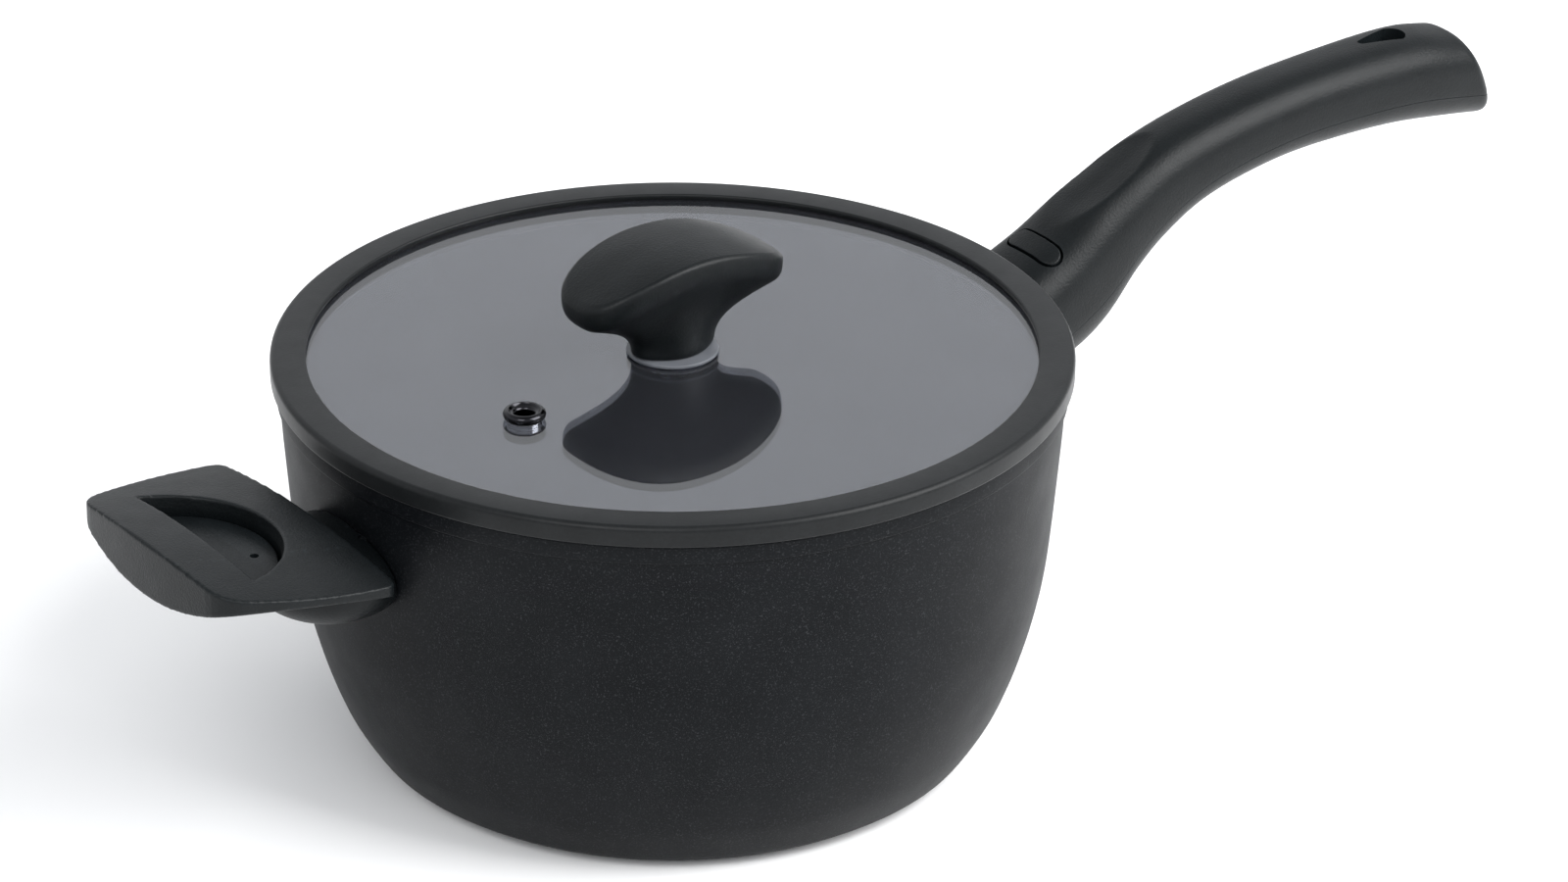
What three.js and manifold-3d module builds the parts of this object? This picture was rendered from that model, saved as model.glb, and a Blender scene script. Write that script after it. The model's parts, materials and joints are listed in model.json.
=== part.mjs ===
// A 24 cm saucepan with a glass lid, millimetres, +Z up.
// The origin is the centre of the face the pan stands on. +X runs along the long handle.
import * as THREE from 'three';
import { mergeVertices } from 'three/addons/utils/BufferGeometryUtils.js';
import Module from 'manifold-3d';

const wasm = await Module();
wasm.setup();

// ---- Driving dimensions -------------------------------------------------------------

const GAP = 0.3;
const ROUND_STEPS = 48;

const PAN_HEIGHT = 126;
const BASE_RADIUS = 91.5;
const RIM_RADIUS = 124.3;
const RIM_BAND_HEIGHT = 6;
const WALL = 3.2;
const FLOOR_THICKNESS = 6;
const BASE_DISC_RADIUS = 84;
const BASE_DISC_THICKNESS = 1.5;
// Radius and height along the outside of the wall, from the base to just under the rim band.
const WALL_CURVE = [
  [91.5, 0], [95.4, 2], [98.6, 5], [104.2, 14], [107.9, 22], [112.1, 34], [116.3, 50], [119.2, 68],
  [122.3, 104], [123.2, 119],
];

const RING_RADIUS = 126;
const RING_INNER_RADIUS = 114.5;
const RING_BOTTOM = PAN_HEIGHT + GAP;
const RING_TOP = 133.2;
const SKIRT_BOTTOM = PAN_HEIGHT - 5.5;
const SKIRT_PLAY = 0.8;
const GLASS_THICKNESS = 3.8;
const GLASS_RADIUS = 121.7;
const GLASS_TOP = 131;
const GLASS_BOTTOM = GLASS_TOP - GLASS_THICKNESS;
const STUD_HOLE_RADIUS = 4.5;

const VENT_X = -65;
const VENT_Y = -13;
const VENT_BORE = 3;
const VENT_BARREL = 4.4;
const VENT_FLANGE = 6.7;
const VENT_HOLE_RADIUS = 5.4;

const KNOB_LENGTH = 75.5;
const KNOB_WIDTH = 36.4;
const FOOT_GASKET_THICKNESS = 1.2;
const FOOT_GASKET_RADIUS = 14.5;
const KNOB_FOOT = GLASS_TOP + FOOT_GASKET_THICKNESS + 2 * GAP;
const KNOB_SQUARENESS = 2.9;
const KNOB_EDGE_TOP = 168.1;
const KNOB_EDGE_DROP = 10.7;
const KNOB_EDGE_THICKNESS = 8;
const KNOB_CROWN = 1.4;
const KNOB_FOOT_LENGTH = 30;
const KNOB_FOOT_WIDTH = 21;
const INSERT_RADIUS = 4;
const INSERT_LENGTH = 14;
const STUD_RADIUS = 2.2;

const HANDLE_HALF_WIDTH = 15;
const ROOT_HALF_WIDTH = 20;
const HANDLE_START = 118;
const HANDLE_END = 328;
const TIP_LEAN = 6.5;
const SECTION_SQUARENESS = 2.8;
// Height of the top and of the underside along the middle of the long handle.
const HANDLE_TOP = [
  [118, 119], [145, 131.2], [165, 143.6], [190, 154.8], [215, 161], [245, 165], [280, 166.8], [305, 166.4],
  [328, 163.2],
];
const HANDLE_UNDERSIDE = [
  [118, 80.8], [150, 90.2], [165, 98], [178, 111.6], [192, 122.2], [210, 131], [235, 136.4], [260, 137.9],
  [295, 136.6], [328, 130.6],
];
const HANDLE_SPLIT = 0.34;
const THUMB_DISH_X = 171;
const THUMB_DISH_RADII = [23, 12.5, 4];
const THUMB_DISH_SLOPE = THREE.MathUtils.degToRad(24);
const HANG_HOLE_X = 294.5;
const HANG_HOLE_LENGTH = 19;
const HANG_HOLE_WIDTH = 11;
const HANDLE_SCREWS = { handle_screw_front: 208, handle_screw_rear: 272 };

const LUG_WIDTH = 18;
const LUG_LOW = 95.2;
const LUG_HIGH = 115.2;
const LUG_END = 132;
const FLANGE_THICKNESS = 3;
const BRACKET_SCREW_HEIGHTS = { bracket_screw_lower: 97.9, bracket_screw_upper: 112.4 };

// The tang rises outwards. Its own axes are s along it, y across it and n square to its top.
const TANG_ANGLE = THREE.MathUtils.degToRad(22);
const TANG_ROOT = [134, 0, 104];
const TANG_WIDTH = 12;
const TANG_THICKNESS = 7;
const TANG_LENGTH = 33;
const LINER_START = 6;
const LINER_END = 41;
const LINER_CLEARANCE = 0.4;
const LINER_WALL = 1.2;
const NOTCH_START = 22.4;
const NOTCH_END = 26.2;
const NOTCH_DEPTH = 2.2;
const LEAF_THICKNESS = 0.8;
const LEAF_START = 14.4;
const EAR_END = 21.6;
const BUTTON_S = 18;
const BUTTON_TOP_N = 20;
const BUTTON_LENGTH = 20;
const BUTTON_WIDTH = 7.6;
const BUTTON_TRAVEL = 2.6;

const HELPER_INNER = -136;
const HELPER_OUTER = -191.5;
const HELPER_INNER_HALF = 50;
const HELPER_OUTER_HALF = 41;
const HELPER_TILT = THREE.MathUtils.degToRad(7.4);
const HELPER_CROWN = 4.6;
const HELPER_EDGE_TOP = 110.3;
const HELPER_INNER_EDGE = 1.5;
const HELPER_OUTER_EDGE = 3.5;
const HELPER_BELLY = 11;
const HELPER_BOW = 3;
const POCKET_FLAT_X = -175.5;
const POCKET_HALF_LENGTH = 32;
const POCKET_DEPTH = 24.5;
const POCKET_FLOOR_TOP = 111.2;
const POCKET_FLOOR_LOW = 108.6;
const POCKET_FLOOR_GAP = 0.8;
const DRAIN_HOLE = [-161, -9.5];
const DRAIN_HOLE_RADIUS = 1.4;
const NECK_CENTRE = [-129.3, 0, 94];
const NECK_RADII = [25.4, 26.3, 14.5];
const HELPER_LUG_END = -140;
const HELPER_LUG_HALF = 11;
const HELPER_LUG_LOW = 97.2;
const HELPER_LUG_HIGH = 106.2;
const HELPER_SCREW_X = -132;
const HELPER_SCREW_SEAT = 89.2;

// ---- Materials ----------------------------------------------------------------------

function finish(color, roughness, metalness) {
  return new THREE.MeshStandardMaterial({ color, roughness, metalness });
}

const coating = finish(0x2a2c2e, 0.55, 0.1);
const gripPlastic = finish(0x2d3231, 0.6, 0);
const silicone = finish(0x3c403e, 0.75, 0);
const seal = finish(0x55595a, 0.8, 0);
const clearSeal = finish(0xa5abb2, 0.5, 0);
const steel = finish(0x9a9c9e, 0.35, 0.9);
const darkMetal = finish(0x3a3a3c, 0.25, 0.9);
const brass = finish(0xb5975a, 0.4, 0.9);
const glass = finish(0xb9bfc4, 0.05, 0);

// ---- Geometry helpers ---------------------------------------------------------------

// Merges a closed geometry's shared vertices and makes it a solid that can be joined and cut.
function solid(geometry) {
  const bare = geometry.clone();
  bare.deleteAttribute('normal');
  bare.deleteAttribute('uv');
  const merged = mergeVertices(bare, 1e-4);
  const index = Array.from(merged.index.array);
  const triangles = [];
  for (let i = 0; i < index.length; i += 3) {
    const [a, b, c] = index.slice(i, i + 3);
    if (a !== b && b !== c && c !== a) triangles.push(a, b, c);
  }
  return new wasm.Manifold(new wasm.Mesh({
    numProp: 3,
    vertProperties: new Float32Array(merged.attributes.position.array),
    triVerts: new Uint32Array(triangles),
  }));
}

function geometryOf(body) {
  const mesh = body.getMesh();
  const geometry = new THREE.BufferGeometry();
  geometry.setAttribute('position', new THREE.BufferAttribute(mesh.vertProperties, 3));
  geometry.setIndex(new THREE.BufferAttribute(mesh.triVerts, 1));
  geometry.computeVertexNormals();
  return geometry;
}

function box(low, high) {
  const size = high.map((value, axis) => value - low[axis]);
  const geometry = new THREE.BoxGeometry(...size);
  geometry.translate(...low.map((value, axis) => value + size[axis] / 2));
  return geometry;
}

// A solid of revolution about +Z from [radius, height] points that go round its outline anticlockwise.
function turned(outline, steps = ROUND_STEPS) {
  const points = outline.map(([radius, height]) => new THREE.Vector2(radius, height));
  return new THREE.LatheGeometry(points, steps).rotateX(Math.PI / 2);
}

function disc(radius, low, high, steps = 24) {
  return turned([[0, low], [radius, low], [radius, high], [0, high]], steps);
}

// A ring's profile closes on itself.
function ring(inner, outer, low, high, steps = 24) {
  return turned([[inner, low], [outer, low], [outer, high], [inner, high], [inner, low]], steps);
}

// Extrudes a shape drawn in X and Y from height low to height high.
function upright(shape, low, high, curveSegments = 8) {
  const settings = { depth: high - low, bevelEnabled: false, curveSegments };
  return new THREE.ExtrudeGeometry(shape, settings).translate(0, 0, low);
}

// Extrudes a shape drawn in X and Z across Y, from -half to +half.
function across(shape, half) {
  return upright(shape, 0, 2 * half).rotateX(Math.PI / 2).translate(0, half, 0);
}

function stadium(length, width) {
  const shape = new THREE.Shape();
  const straight = (length - width) / 2;
  shape.absarc(straight, 0, width / 2, -Math.PI / 2, Math.PI / 2, false);
  shape.absarc(-straight, 0, width / 2, Math.PI / 2, 3 * Math.PI / 2, false);
  return shape;
}

// Moves each vertex of a closed primitive, which keeps it closed.
function reshaped(geometry, move) {
  const position = geometry.attributes.position;
  const point = new THREE.Vector3();
  for (let i = 0; i < position.count; i += 1) {
    point.fromBufferAttribute(position, i);
    move(point);
    position.setXYZ(i, point.x, point.y, point.z);
  }
  return geometry;
}

// A smooth curve through [along, value] points, read by its first coordinate.
function curveThrough(pairs) {
  const spline = new THREE.SplineCurve(pairs.map(([along, value]) => new THREE.Vector2(along, value)));
  const samples = spline.getPoints(pairs.length * 12);
  return (along) => {
    const next = samples.findIndex((sample) => sample.x >= along);
    if (next < 0) return samples.at(-1).y;
    if (next === 0) return samples[0].y;
    const [before, after] = [samples[next - 1], samples[next]];
    return THREE.MathUtils.mapLinear(along, before.x, after.x, before.y, after.y);
  };
}

// Places a geometry made in the tang's own axes: X is s, Y is y, Z is n.
function onTang(geometry) {
  return geometry.rotateY(-TANG_ANGLE).translate(...TANG_ROOT);
}

function screw(headRadius, shankRadius, headHeight, length) {
  return turned([
    [0, 0], [headRadius, 0], [headRadius, headHeight], [shankRadius, headHeight],
    [shankRadius, length], [0, length],
  ], 16);
}

// ---- Pan ----------------------------------------------------------------------------

const wallPoints = new THREE.SplineCurve(WALL_CURVE.map(([r, z]) => new THREE.Vector2(r, z))).getPoints(13);

function wallOutline(offset) {
  return wallPoints.map(({ x, y }) => [x + offset, y]);
}

// What the handles must stay out of: the wall and rim with a clearance round them.
function wallClearance(clearance) {
  const bandLow = PAN_HEIGHT - RIM_BAND_HEIGHT - 2;
  const outside = wallOutline(clearance).filter(([, height]) => height < bandLow);
  const aboveRim = RING_RADIUS + 1.3;
  const aboveLid = RING_TOP + 60;
  return solid(turned([
    [0, -10], [BASE_RADIUS, -10], ...outside, [aboveRim, bandLow], [aboveRim, aboveLid], [0, aboveLid],
  ]));
}

function vessel() {
  const floor = FLOOR_THICKNESS;
  const inside = wallOutline(-WALL).filter(([, height]) => height > floor + 12).reverse();
  const recess = BASE_DISC_RADIUS + GAP;
  const recessTop = BASE_DISC_THICKNESS + GAP;
  const rimInner = RIM_RADIUS - 4;
  const bandLow = PAN_HEIGHT - RIM_BAND_HEIGHT;
  return solid(turned([
    [0, recessTop], [recess, recessTop], [recess, 0], ...wallOutline(0), [RIM_RADIUS, bandLow],
    [RIM_RADIUS, PAN_HEIGHT - 0.7], [RIM_RADIUS - 0.7, PAN_HEIGHT], [rimInner, PAN_HEIGHT], ...inside,
    [97, floor + 4.5], [90, floor + 1], [82, floor], [0, floor],
  ]));
}

function panBody() {
  const inWall = 121;
  const lug = solid(box([inWall, -LUG_WIDTH / 2, LUG_LOW], [LUG_END, LUG_WIDTH / 2, LUG_HIGH]));
  const helperLug = solid(box(
    [HELPER_LUG_END, -HELPER_LUG_HALF, HELPER_LUG_LOW],
    [-inWall, HELPER_LUG_HALF, HELPER_LUG_HIGH],
  ));
  let body = vessel().add(lug).add(helperLug);
  for (const height of Object.values(BRACKET_SCREW_HEIGHTS)) {
    const hole = disc(1.9, 0, 12, 16).rotateY(Math.PI / 2).translate(LUG_END - 7.4, 0, height);
    body = body.subtract(solid(hole));
  }
  const helperHole = disc(2.3, HELPER_LUG_LOW - 1, HELPER_LUG_HIGH - 2, 16).translate(HELPER_SCREW_X, 0, 0);
  return geometryOf(body.subtract(solid(helperHole)));
}

function baseDisc() {
  return disc(BASE_DISC_RADIUS, 0, BASE_DISC_THICKNESS, ROUND_STEPS);
}

// ---- Bracket that carries the long handle -------------------------------------------

const BRACKET_FACE = LUG_END + GAP;

function handleBracket() {
  const flange = solid(box(
    [BRACKET_FACE, -LUG_WIDTH / 2, LUG_LOW],
    [BRACKET_FACE + FLANGE_THICKNESS, LUG_WIDTH / 2, LUG_HIGH],
  ));
  const bar = solid(onTang(box(
    [0, -TANG_WIDTH / 2, -TANG_THICKNESS / 2],
    [TANG_LENGTH, TANG_WIDTH / 2, TANG_THICKNESS / 2],
  )));
  const notch = solid(onTang(box(
    [NOTCH_START, -TANG_WIDTH, -TANG_THICKNESS],
    [NOTCH_END, TANG_WIDTH, -TANG_THICKNESS / 2 + NOTCH_DEPTH],
  )));
  let body = flange.add(bar).subtract(notch);
  for (const height of Object.values(BRACKET_SCREW_HEIGHTS)) {
    const hole = disc(1.9, 0, 8, 16).rotateY(Math.PI / 2).translate(BRACKET_FACE - 1, 0, height);
    body = body.subtract(solid(hole));
  }
  return geometryOf(body);
}

function bracketScrew(height) {
  const headHeight = 2;
  const headFace = BRACKET_FACE + FLANGE_THICKNESS + GAP + headHeight;
  return screw(2.4, 1.6, headHeight, 11).rotateY(-Math.PI / 2).translate(headFace, 0, height);
}

// ---- Lid ----------------------------------------------------------------------------

function lidGlass() {
  const plate = solid(disc(GLASS_RADIUS, GLASS_BOTTOM, GLASS_TOP, ROUND_STEPS));
  const studHole = solid(disc(STUD_HOLE_RADIUS, GLASS_BOTTOM - 5, GLASS_TOP + 5));
  const ventHole = disc(VENT_HOLE_RADIUS, GLASS_BOTTOM - 5, GLASS_TOP + 5).translate(VENT_X, VENT_Y, 0);
  return geometryOf(plate.subtract(studHole).subtract(solid(ventHole)));
}

// The silicone rim grips the glass in a groove, overhangs the pan's rim and reaches down inside it.
function lidRing() {
  const grooveTop = GLASS_TOP + GAP;
  const grooveBottom = GLASS_BOTTOM - GAP;
  const grooveRadius = GLASS_RADIUS + GAP;
  const skirtOuter = RIM_RADIUS - 4 - SKIRT_PLAY;
  return turned([
    [RING_INNER_RADIUS, grooveTop], [grooveRadius, grooveTop], [grooveRadius, grooveBottom],
    [RING_INNER_RADIUS + 1.5, grooveBottom], [skirtOuter - 2.4, SKIRT_BOTTOM],
    [skirtOuter - 0.6, SKIRT_BOTTOM], [skirtOuter, RING_BOTTOM],
    [RING_RADIUS, RING_BOTTOM], [RING_RADIUS, RING_TOP - 1.9],
    [RING_RADIUS - 0.6, RING_TOP - 0.6], [RING_RADIUS - 1.9, RING_TOP], [RING_INNER_RADIUS + 0.6, RING_TOP],
    [RING_INNER_RADIUS, RING_TOP - 0.6], [RING_INNER_RADIUS, grooveTop],
  ]);
}

function ventEyelet() {
  const low = GLASS_BOTTOM;
  const top = GLASS_TOP;
  return turned([
    [VENT_BORE, low - 1.4], [VENT_FLANGE - 0.6, low - 1.4], [VENT_FLANGE - 0.6, low - 0.6],
    [VENT_BARREL, low - 0.6], [VENT_BARREL, top + 0.6], [VENT_FLANGE, top + 0.6],
    [VENT_FLANGE - 0.3, top + 2], [VENT_FLANGE - 1.6, top + 2.6], [VENT_BORE + 0.9, top + 2.4],
    [VENT_BORE, top + 1.4], [VENT_BORE, low - 1.4],
  ], 20).translate(VENT_X, VENT_Y, 0);
}

function ventSleeve() {
  const inner = VENT_BARREL + 0.2;
  const outer = VENT_HOLE_RADIUS - 0.2;
  return ring(inner, outer, GLASS_BOTTOM - 0.3, GLASS_TOP + 0.3, 20).translate(VENT_X, VENT_Y, 0);
}

// ---- Knob ---------------------------------------------------------------------------

function oval(angle, length, width, power) {
  const cos = Math.cos(angle);
  const sin = Math.sin(angle);
  const scale = (Math.abs(cos) ** power + Math.abs(sin) ** power) ** (-1 / power);
  return [length / 2 * cos * scale, width / 2 * sin * scale];
}

// The arched oval top hangs over a waisted foot. Each upright slice runs from the middle of the top,
// round the edge, in under the overhang and down to the foot. A slice's points are [share, height],
// where share 0 is the knob's middle and 1 is its edge.
function knobSlice(angle) {
  const [edgeX, edgeY] = oval(angle, KNOB_LENGTH, KNOB_WIDTH, KNOB_SQUARENESS);
  const [footX, footY] = oval(angle, KNOB_FOOT_LENGTH, KNOB_FOOT_WIDTH, 2);
  const foot = Math.hypot(footX, footY) / Math.hypot(edgeX, edgeY);
  const arch = (share) => {
    const end = 2 * edgeX * share / KNOB_LENGTH;
    return KNOB_EDGE_TOP - KNOB_EDGE_DROP * end ** 2 + KNOB_CROWN * (1 - share ** 2);
  };
  const edgeLow = arch(1) - KNOB_EDGE_THICKNESS;
  const underside = new THREE.CubicBezierCurve(
    new THREE.Vector2(0.94, edgeLow),
    new THREE.Vector2(THREE.MathUtils.lerp(foot, 1, 0.6), THREE.MathUtils.lerp(KNOB_FOOT, edgeLow, 0.75)),
    new THREE.Vector2(THREE.MathUtils.lerp(foot, 1, 0.05), THREE.MathUtils.lerp(KNOB_FOOT, edgeLow, 0.55)),
    new THREE.Vector2(foot, KNOB_FOOT + 2),
  );
  const lower = underside.getPoints(5).slice(1).map(({ x, y }) => [x, y]);
  const slice = [
    [0, arch(0)], [0.35, arch(0.35)], [0.7, arch(0.7)], [0.94, arch(0.94)], [0.985, arch(1) - 0.6],
    [1, arch(1) - 2.4], [0.98, edgeLow + 1.5], [0.94, edgeLow], ...lower,
    [foot * 0.94, KNOB_FOOT], [0, KNOB_FOOT],
  ];
  return slice.map(([share, height]) => [edgeX * share, edgeY * share, height]);
}

function knobGrip() {
  const rows = knobSlice(0).length - 1;
  const geometry = new THREE.SphereGeometry(1, 36, rows).rotateX(Math.PI / 2);
  reshaped(geometry, (point) => {
    const row = Math.round(rows * Math.acos(THREE.MathUtils.clamp(point.z, -1, 1)) / Math.PI);
    point.set(...knobSlice(Math.atan2(point.y, point.x))[row]);
  });
  const hole = solid(disc(INSERT_RADIUS + GAP, KNOB_FOOT - 5, KNOB_FOOT + INSERT_LENGTH + 2));
  return geometryOf(solid(geometry).subtract(hole));
}

function knobInsert() {
  return ring(STUD_RADIUS + GAP, INSERT_RADIUS, KNOB_FOOT, KNOB_FOOT + INSERT_LENGTH);
}

// The gasket between the knob's foot and the glass.
function knobFootGasket() {
  const low = GLASS_TOP + GAP;
  return ring(STUD_RADIUS + GAP, FOOT_GASKET_RADIUS, low, low + FOOT_GASKET_THICKNESS, 36);
}

// Under the glass come a gasket, a washer and the screw's head, each a gap below the last.
const UNDER_GLASS_PLATE = 1.2;
const GASKET_TOP = GLASS_BOTTOM - GAP;
const WASHER_TOP = GASKET_TOP - UNDER_GLASS_PLATE - GAP;
const KNOB_SCREW_HEAD = 3;

function knobLowerGasket() {
  return ring(STUD_RADIUS + GAP, 11, GASKET_TOP - UNDER_GLASS_PLATE, GASKET_TOP);
}

function knobWasher() {
  return ring(STUD_RADIUS + GAP, 9, WASHER_TOP - UNDER_GLASS_PLATE, WASHER_TOP);
}

function knobScrew() {
  const headFace = WASHER_TOP - UNDER_GLASS_PLATE - GAP - KNOB_SCREW_HEAD;
  return screw(4.4, STUD_RADIUS, KNOB_SCREW_HEAD, 20).translate(0, 0, headFace);
}

function knobSleeve() {
  return ring(STUD_RADIUS + GAP, STUD_HOLE_RADIUS - GAP, GLASS_BOTTOM, GLASS_TOP - 0.2);
}

// ---- Long handle --------------------------------------------------------------------

const handleTop = curveThrough(HANDLE_TOP);
const handleUnderside = curveThrough(HANDLE_UNDERSIDE);

function handleHalfWidth(x) {
  const flare = THREE.MathUtils.smoothstep(x, 125, 205);
  const root = THREE.MathUtils.lerp(ROOT_HALF_WIDTH, HANDLE_HALF_WIDTH - 0.5, flare);
  return root + 1.5 * THREE.MathUtils.smoothstep(x, 250, 315);
}

// Rounds the far end: how much of the section is left at a share of the handle's length.
function tipShare(along) {
  const intoTip = THREE.MathUtils.clamp((along - 0.965) / 0.035, 0, 1);
  return Math.sqrt(1 - 0.45 * intoTip ** 3);
}

// A long tube of oval sections that follow the top and the underside.
function handleBody() {
  const stations = 26;
  const geometry = new THREE.CylinderGeometry(1, 1, 1, 24, stations).rotateZ(-Math.PI / 2);
  reshaped(geometry, (point) => {
    const along = point.x + 0.5;
    const spread = Math.min(1, Math.hypot(point.y, point.z)) * tipShare(along);
    const x = THREE.MathUtils.lerp(HANDLE_START, HANDLE_END, along);
    const depth = handleTop(x) - handleUnderside(x);
    const angle = Math.atan2(point.z, point.y);
    const [width, height] = oval(angle, 2 * handleHalfWidth(x), depth, SECTION_SQUARENESS);
    const lean = TIP_LEAN * THREE.MathUtils.smoothstep(along, 0.85, 1) * 2 * height * spread / depth;
    const bulge = 4 * (1 - spread) * THREE.MathUtils.smoothstep(along, 0.95, 1);
    point.set(x - lean + bulge, width * spread, handleUnderside(x) + depth / 2 + height * spread);
  });
  return solid(geometry).subtract(wallClearance(0.8));
}

// The joint line between the shells follows the handle, about a third of the way up its side.
function belowSplit(raise) {
  const shape = new THREE.Shape();
  shape.moveTo(100, 60);
  shape.lineTo(360, 60);
  for (let x = 350; x >= 100; x -= 10) {
    const clamped = THREE.MathUtils.clamp(x, HANDLE_START, HANDLE_END);
    const height = THREE.MathUtils.lerp(handleUnderside(clamped), handleTop(clamped), HANDLE_SPLIT);
    shape.lineTo(x, height + raise);
  }
  return solid(across(shape, 30));
}

const linerHalfWidth = TANG_WIDTH / 2 + LINER_CLEARANCE + LINER_WALL;
const linerHalfHeight = TANG_THICKNESS / 2 + LINER_CLEARANCE + LINER_WALL;
const leafTop = -linerHalfHeight - 0.3;
const legInner = linerHalfWidth + 0.5;
const legOuter = legInner + 2.2;
const LEG_HALF_LENGTH = 3;
const LEAF_SCREW_S = LINER_END - 3.5;

// The lug and bracket, and what they pass through as the handle slides off along the tang.
function lugRoom(clear) {
  const low = LUG_LOW - clear;
  const high = LUG_HIGH + clear;
  const heads = LUG_END + 7;
  const far = LUG_END + 10;
  const near = LUG_END - 32;
  const shape = new THREE.Shape();
  shape.moveTo(near, high);
  shape.lineTo(near, low - (heads - near) * Math.tan(TANG_ANGLE));
  shape.lineTo(heads, low);
  shape.lineTo(far, low);
  shape.lineTo(far, high);
  return solid(across(shape, LUG_WIDTH / 2 + clear));
}

// Everything the shells leave room for: lug and bracket, liner, leaf spring, button and its legs.
function mechanismSpace() {
  const clear = 0.4;
  const linerRoom = solid(onTang(box(
    [0, -linerHalfWidth - GAP, -linerHalfHeight - GAP],
    [LINER_END + GAP, linerHalfWidth + GAP, linerHalfHeight + GAP],
  )));
  const leafLow = leafTop - LEAF_THICKNESS - BUTTON_TRAVEL - 0.8;
  const leafRoom = solid(onTang(box([LEAF_START - 1, -4.6, leafLow], [LINER_END + GAP, 4.6, 0])));
  const legSide = legOuter + clear;
  const earRoom = solid(onTang(box([LEAF_START - 1, -legSide, leafLow], [EAR_END + 1, legSide, 0])));
  const legReach = LEG_HALF_LENGTH + clear;
  const legRoom = solid(onTang(box(
    [BUTTON_S - legReach, -legSide, leafLow],
    [BUTTON_S + legReach, legSide, linerHalfHeight + BUTTON_TRAVEL + 3.6],
  )));
  const well = upright(stadium(BUTTON_LENGTH + 1, BUTTON_WIDTH + 1), 0, 40).rotateZ(Math.PI / 2);
  const wellRoom = solid(onTang(well.translate(BUTTON_S, 0, linerHalfHeight)));
  return lugRoom(clear).add(linerRoom).add(leafRoom).add(earRoom).add(legRoom).add(wellRoom);
}

function thumbDish() {
  const dish = new THREE.SphereGeometry(1, 24, 12).scale(...THUMB_DISH_RADII).rotateY(-THUMB_DISH_SLOPE);
  return solid(dish.translate(THUMB_DISH_X, 0, handleTop(THUMB_DISH_X) + 1));
}

// A round hole that runs out to a point on the pan's side.
function hangingHole() {
  const shape = new THREE.Shape();
  const round = HANG_HOLE_WIDTH / 2;
  const pointRadius = 1.6;
  const point = HANG_HOLE_LENGTH - round - pointRadius;
  shape.absarc(0, 0, round, -Math.PI * 0.4, Math.PI * 0.4, false);
  shape.absarc(-point, 0, pointRadius, Math.PI * 0.45, Math.PI * 1.55, false);
  return solid(upright(shape, 60, 220).translate(HANG_HOLE_X, 0, 0));
}

function screwPockets(clearance) {
  const pockets = Object.values(HANDLE_SCREWS).map((x) => {
    const low = handleUnderside(x);
    const shank = solid(disc(1.5 + clearance, low - 5, low + 14.5, 16).translate(x, 0, 0));
    const head = solid(disc(3.2 + clearance, low - 5, low + 4 + clearance, 20).translate(x, 0, 0));
    return shank.add(head);
  });
  return pockets[0].add(pockets[1]);
}

function handleShells() {
  const hollows = mechanismSpace().add(thumbDish()).add(hangingHole()).add(screwPockets(GAP));
  const hollowed = handleBody().subtract(hollows);
  const upper = hollowed.subtract(belowSplit(GAP / 2));
  const lower = hollowed.intersect(belowSplit(-GAP / 2));
  return { upper: geometryOf(upper), lower: geometryOf(lower) };
}

function handleScrew(x) {
  return screw(3.2, 1.5, 2.4, 12.4).translate(x, 0, handleUnderside(x) + 1.5);
}

// A square steel sleeve that slides on the tang, with a window below for the latch's nose.
function socketLiner() {
  const width = linerHalfWidth;
  const height = linerHalfHeight;
  const outer = solid(onTang(box([LINER_START, -width, -height], [LINER_END, width, height])));
  const bore = solid(onTang(box(
    [LINER_START - 5, LINER_WALL - width, LINER_WALL - height],
    [LINER_END + 5, width - LINER_WALL, height - LINER_WALL],
  )));
  const window = solid(onTang(box([NOTCH_START - 1, -4, -height - 5], [NOTCH_END + 1, 4, 0])));
  const screwHole = solid(onTang(disc(1.5, -height - 5, 0, 16).translate(LEAF_SCREW_S, 0, 0)));
  return geometryOf(outer.subtract(bore).subtract(window).subtract(screwHole));
}

// The latch is a leaf spring under the liner. Its nose stands up into the tang's notch, and the
// button's legs push its ears down to free it.
function latchLeaf() {
  const low = leafTop - LEAF_THICKNESS;
  const noseTop = -TANG_THICKNESS / 2 + NOTCH_DEPTH - 0.6;
  const strip = solid(onTang(box([LEAF_START, -4, low], [LINER_END - 0.5, 4, leafTop])));
  const ears = solid(onTang(box([LEAF_START, -legOuter, low], [EAR_END, legOuter, leafTop])));
  const nose = solid(onTang(box([NOTCH_START + 0.5, -3, low], [NOTCH_END - 0.5, 3, noseTop])));
  const hole = solid(onTang(disc(1.5, low - 3, leafTop + 3, 16).translate(LEAF_SCREW_S, 0, 0)));
  return geometryOf(strip.add(ears).add(nose).subtract(hole));
}

function latchScrew() {
  const headHeight = 1.4;
  const headFace = leafTop - LEAF_THICKNESS - GAP - headHeight;
  return onTang(screw(2.6, 1.2, headHeight, 4.6).translate(LEAF_SCREW_S, 0, headFace));
}

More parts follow.
